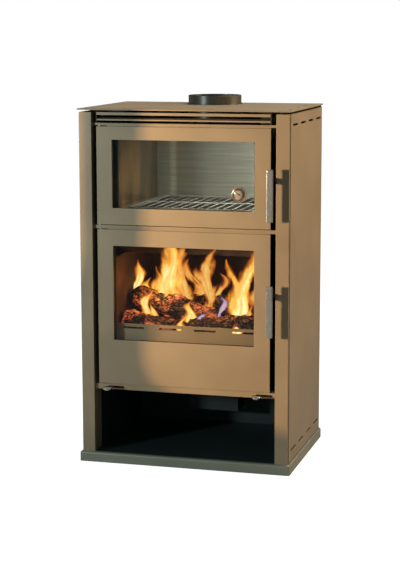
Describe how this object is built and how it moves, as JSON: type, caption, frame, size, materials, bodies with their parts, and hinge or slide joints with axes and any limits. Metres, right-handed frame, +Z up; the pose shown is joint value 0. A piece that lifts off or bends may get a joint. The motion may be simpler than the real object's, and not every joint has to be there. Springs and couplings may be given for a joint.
{
  "type": "wood burning stove with oven",
  "caption": "Tall steel wood burning stove: glazed firebox door, glazed oven door above it, open log store below, lift latches and sliding air controls.",
  "frame": {"origin": "middle of the casing's footprint on the floor, under the base plate", "axes": "+X to the right seen from the front, +Y to the back, +Z up; the doors are on the -Y side"},
  "size_m": [0.614, 0.482, 1.033],
  "materials": {
    "bronze_paint": "satin metallic bronze-grey stove paint",
    "plinth_paint": "satin grey-brown stove paint",
    "black_steel": "matt black stove paint",
    "inner_steel": "matt grey-green primer inside the casing",
    "stainless_liner": "brushed stainless sheet",
    "stainless_bar": "fine brushed stainless bar",
    "zinc_steel": "bright zinc plate",
    "chrome_wire": "bright chrome",
    "chrome_knob": "polished chrome",
    "fire_brick": "heat darkened firebrick",
    "cast_grate": "raw cast iron",
    "clear_glass": "clear ceramic glass",
    "rope_gasket": "braided black glass-fibre rope",
    "brass_case": "polished copper-gold",
    "dial_face": "printed dial"
  },
  "bodies": {
    "stove": {"plinth": "plinth_paint", "base_plate": "black_steel", "levelling_screws": "zinc_steel", "left_post": "bronze_paint", "right_post": "bronze_paint", "left_side_panel": "bronze_paint", "right_side_panel": "bronze_paint", "back_panel": "inner_steel", "top_plate": "bronze_paint", "flue_collar": "black_steel", "upper_louvre_blade": "bronze_paint", "lower_louvre_blade": "bronze_paint", "louvre_end_brackets": "black_steel", "top_rail": "bronze_paint", "mid_rail": "bronze_paint", "bottom_rail": "bronze_paint", "wood_store_walls": "inner_steel", "casing_brackets": "zinc_steel", "front_frame": "black_steel", "body_shell": "inner_steel", "body_floor": "inner_steel", "body_roof": "inner_steel", "hearth_shelf": "black_steel", "air_intake_box": "inner_steel", "left_fire_brick": "fire_brick", "right_fire_brick": "fire_brick", "back_fire_brick": "fire_brick", "hearth_bricks": "fire_brick", "ash_pan_runners": "zinc_steel", "fire_grate": "cast_grate", "baffle": "fire_brick", "log_fence": "bronze_paint", "ash_pan": "zinc_steel", "oven_liner": "stainless_liner", "oven_runners": "stainless_liner", "oven_rack": "chrome_wire", "air_slide_guides": "zinc_steel", "hinge_pins": "zinc_steel", "latch_keepers": "zinc_steel"},
    "upper_door": {"upper_door_panel": "bronze_paint", "upper_door_frame": "black_steel", "upper_door_glass": "clear_glass", "upper_door_gasket": "rope_gasket", "upper_latch_pivot": "zinc_steel", "thermometer_case": "brass_case", "thermometer_dial": "dial_face", "thermometer_stem": "zinc_steel"},
    "upper_latch": {"upper_latch_lever": "black_steel", "upper_handle_bar": "stainless_bar"},
    "lower_door": {"lower_door_panel": "bronze_paint", "lower_door_frame": "black_steel", "lower_door_glass": "clear_glass", "lower_door_gasket": "rope_gasket", "lower_latch_pivot": "zinc_steel"},
    "lower_latch": {"lower_latch_lever": "black_steel", "lower_handle_bar": "stainless_bar"},
    "primary_air": {"primary_air_slide": "zinc_steel", "primary_air_knob": "chrome_knob"},
    "secondary_air": {"secondary_air_slide": "zinc_steel", "secondary_air_knob": "chrome_knob"}
  },
  "joints": [
    {"name": "upper_door_hinge", "type": "hinge", "parent": "stove", "child": "upper_door", "pos_m": [-0.243, -0.201, 0.82175], "axis": [0, 0, -1], "range_deg": [0, 100]},
    {"name": "lower_door_hinge", "type": "hinge", "parent": "stove", "child": "lower_door", "pos_m": [-0.243, -0.201, 0.45135], "axis": [0, 0, -1], "range_deg": [0, 100]},
    {"name": "upper_latch_lift", "type": "hinge", "parent": "upper_door", "child": "upper_latch", "pos_m": [0.255, -0.201, 0.819], "axis": [-1, 0, 0], "range_deg": [0, 25]},
    {"name": "lower_latch_lift", "type": "hinge", "parent": "lower_door", "child": "lower_latch", "pos_m": [0.255, -0.201, 0.5025], "axis": [-1, 0, 0], "range_deg": [0, 25]},
    {"name": "primary_air_travel", "type": "slide", "parent": "stove", "child": "primary_air", "axis": [1, 0, 0], "range_m": [0, 0.03]},
    {"name": "secondary_air_travel", "type": "slide", "parent": "stove", "child": "secondary_air", "axis": [1, 0, 0], "range_m": [0, 0.03]}
  ]
}
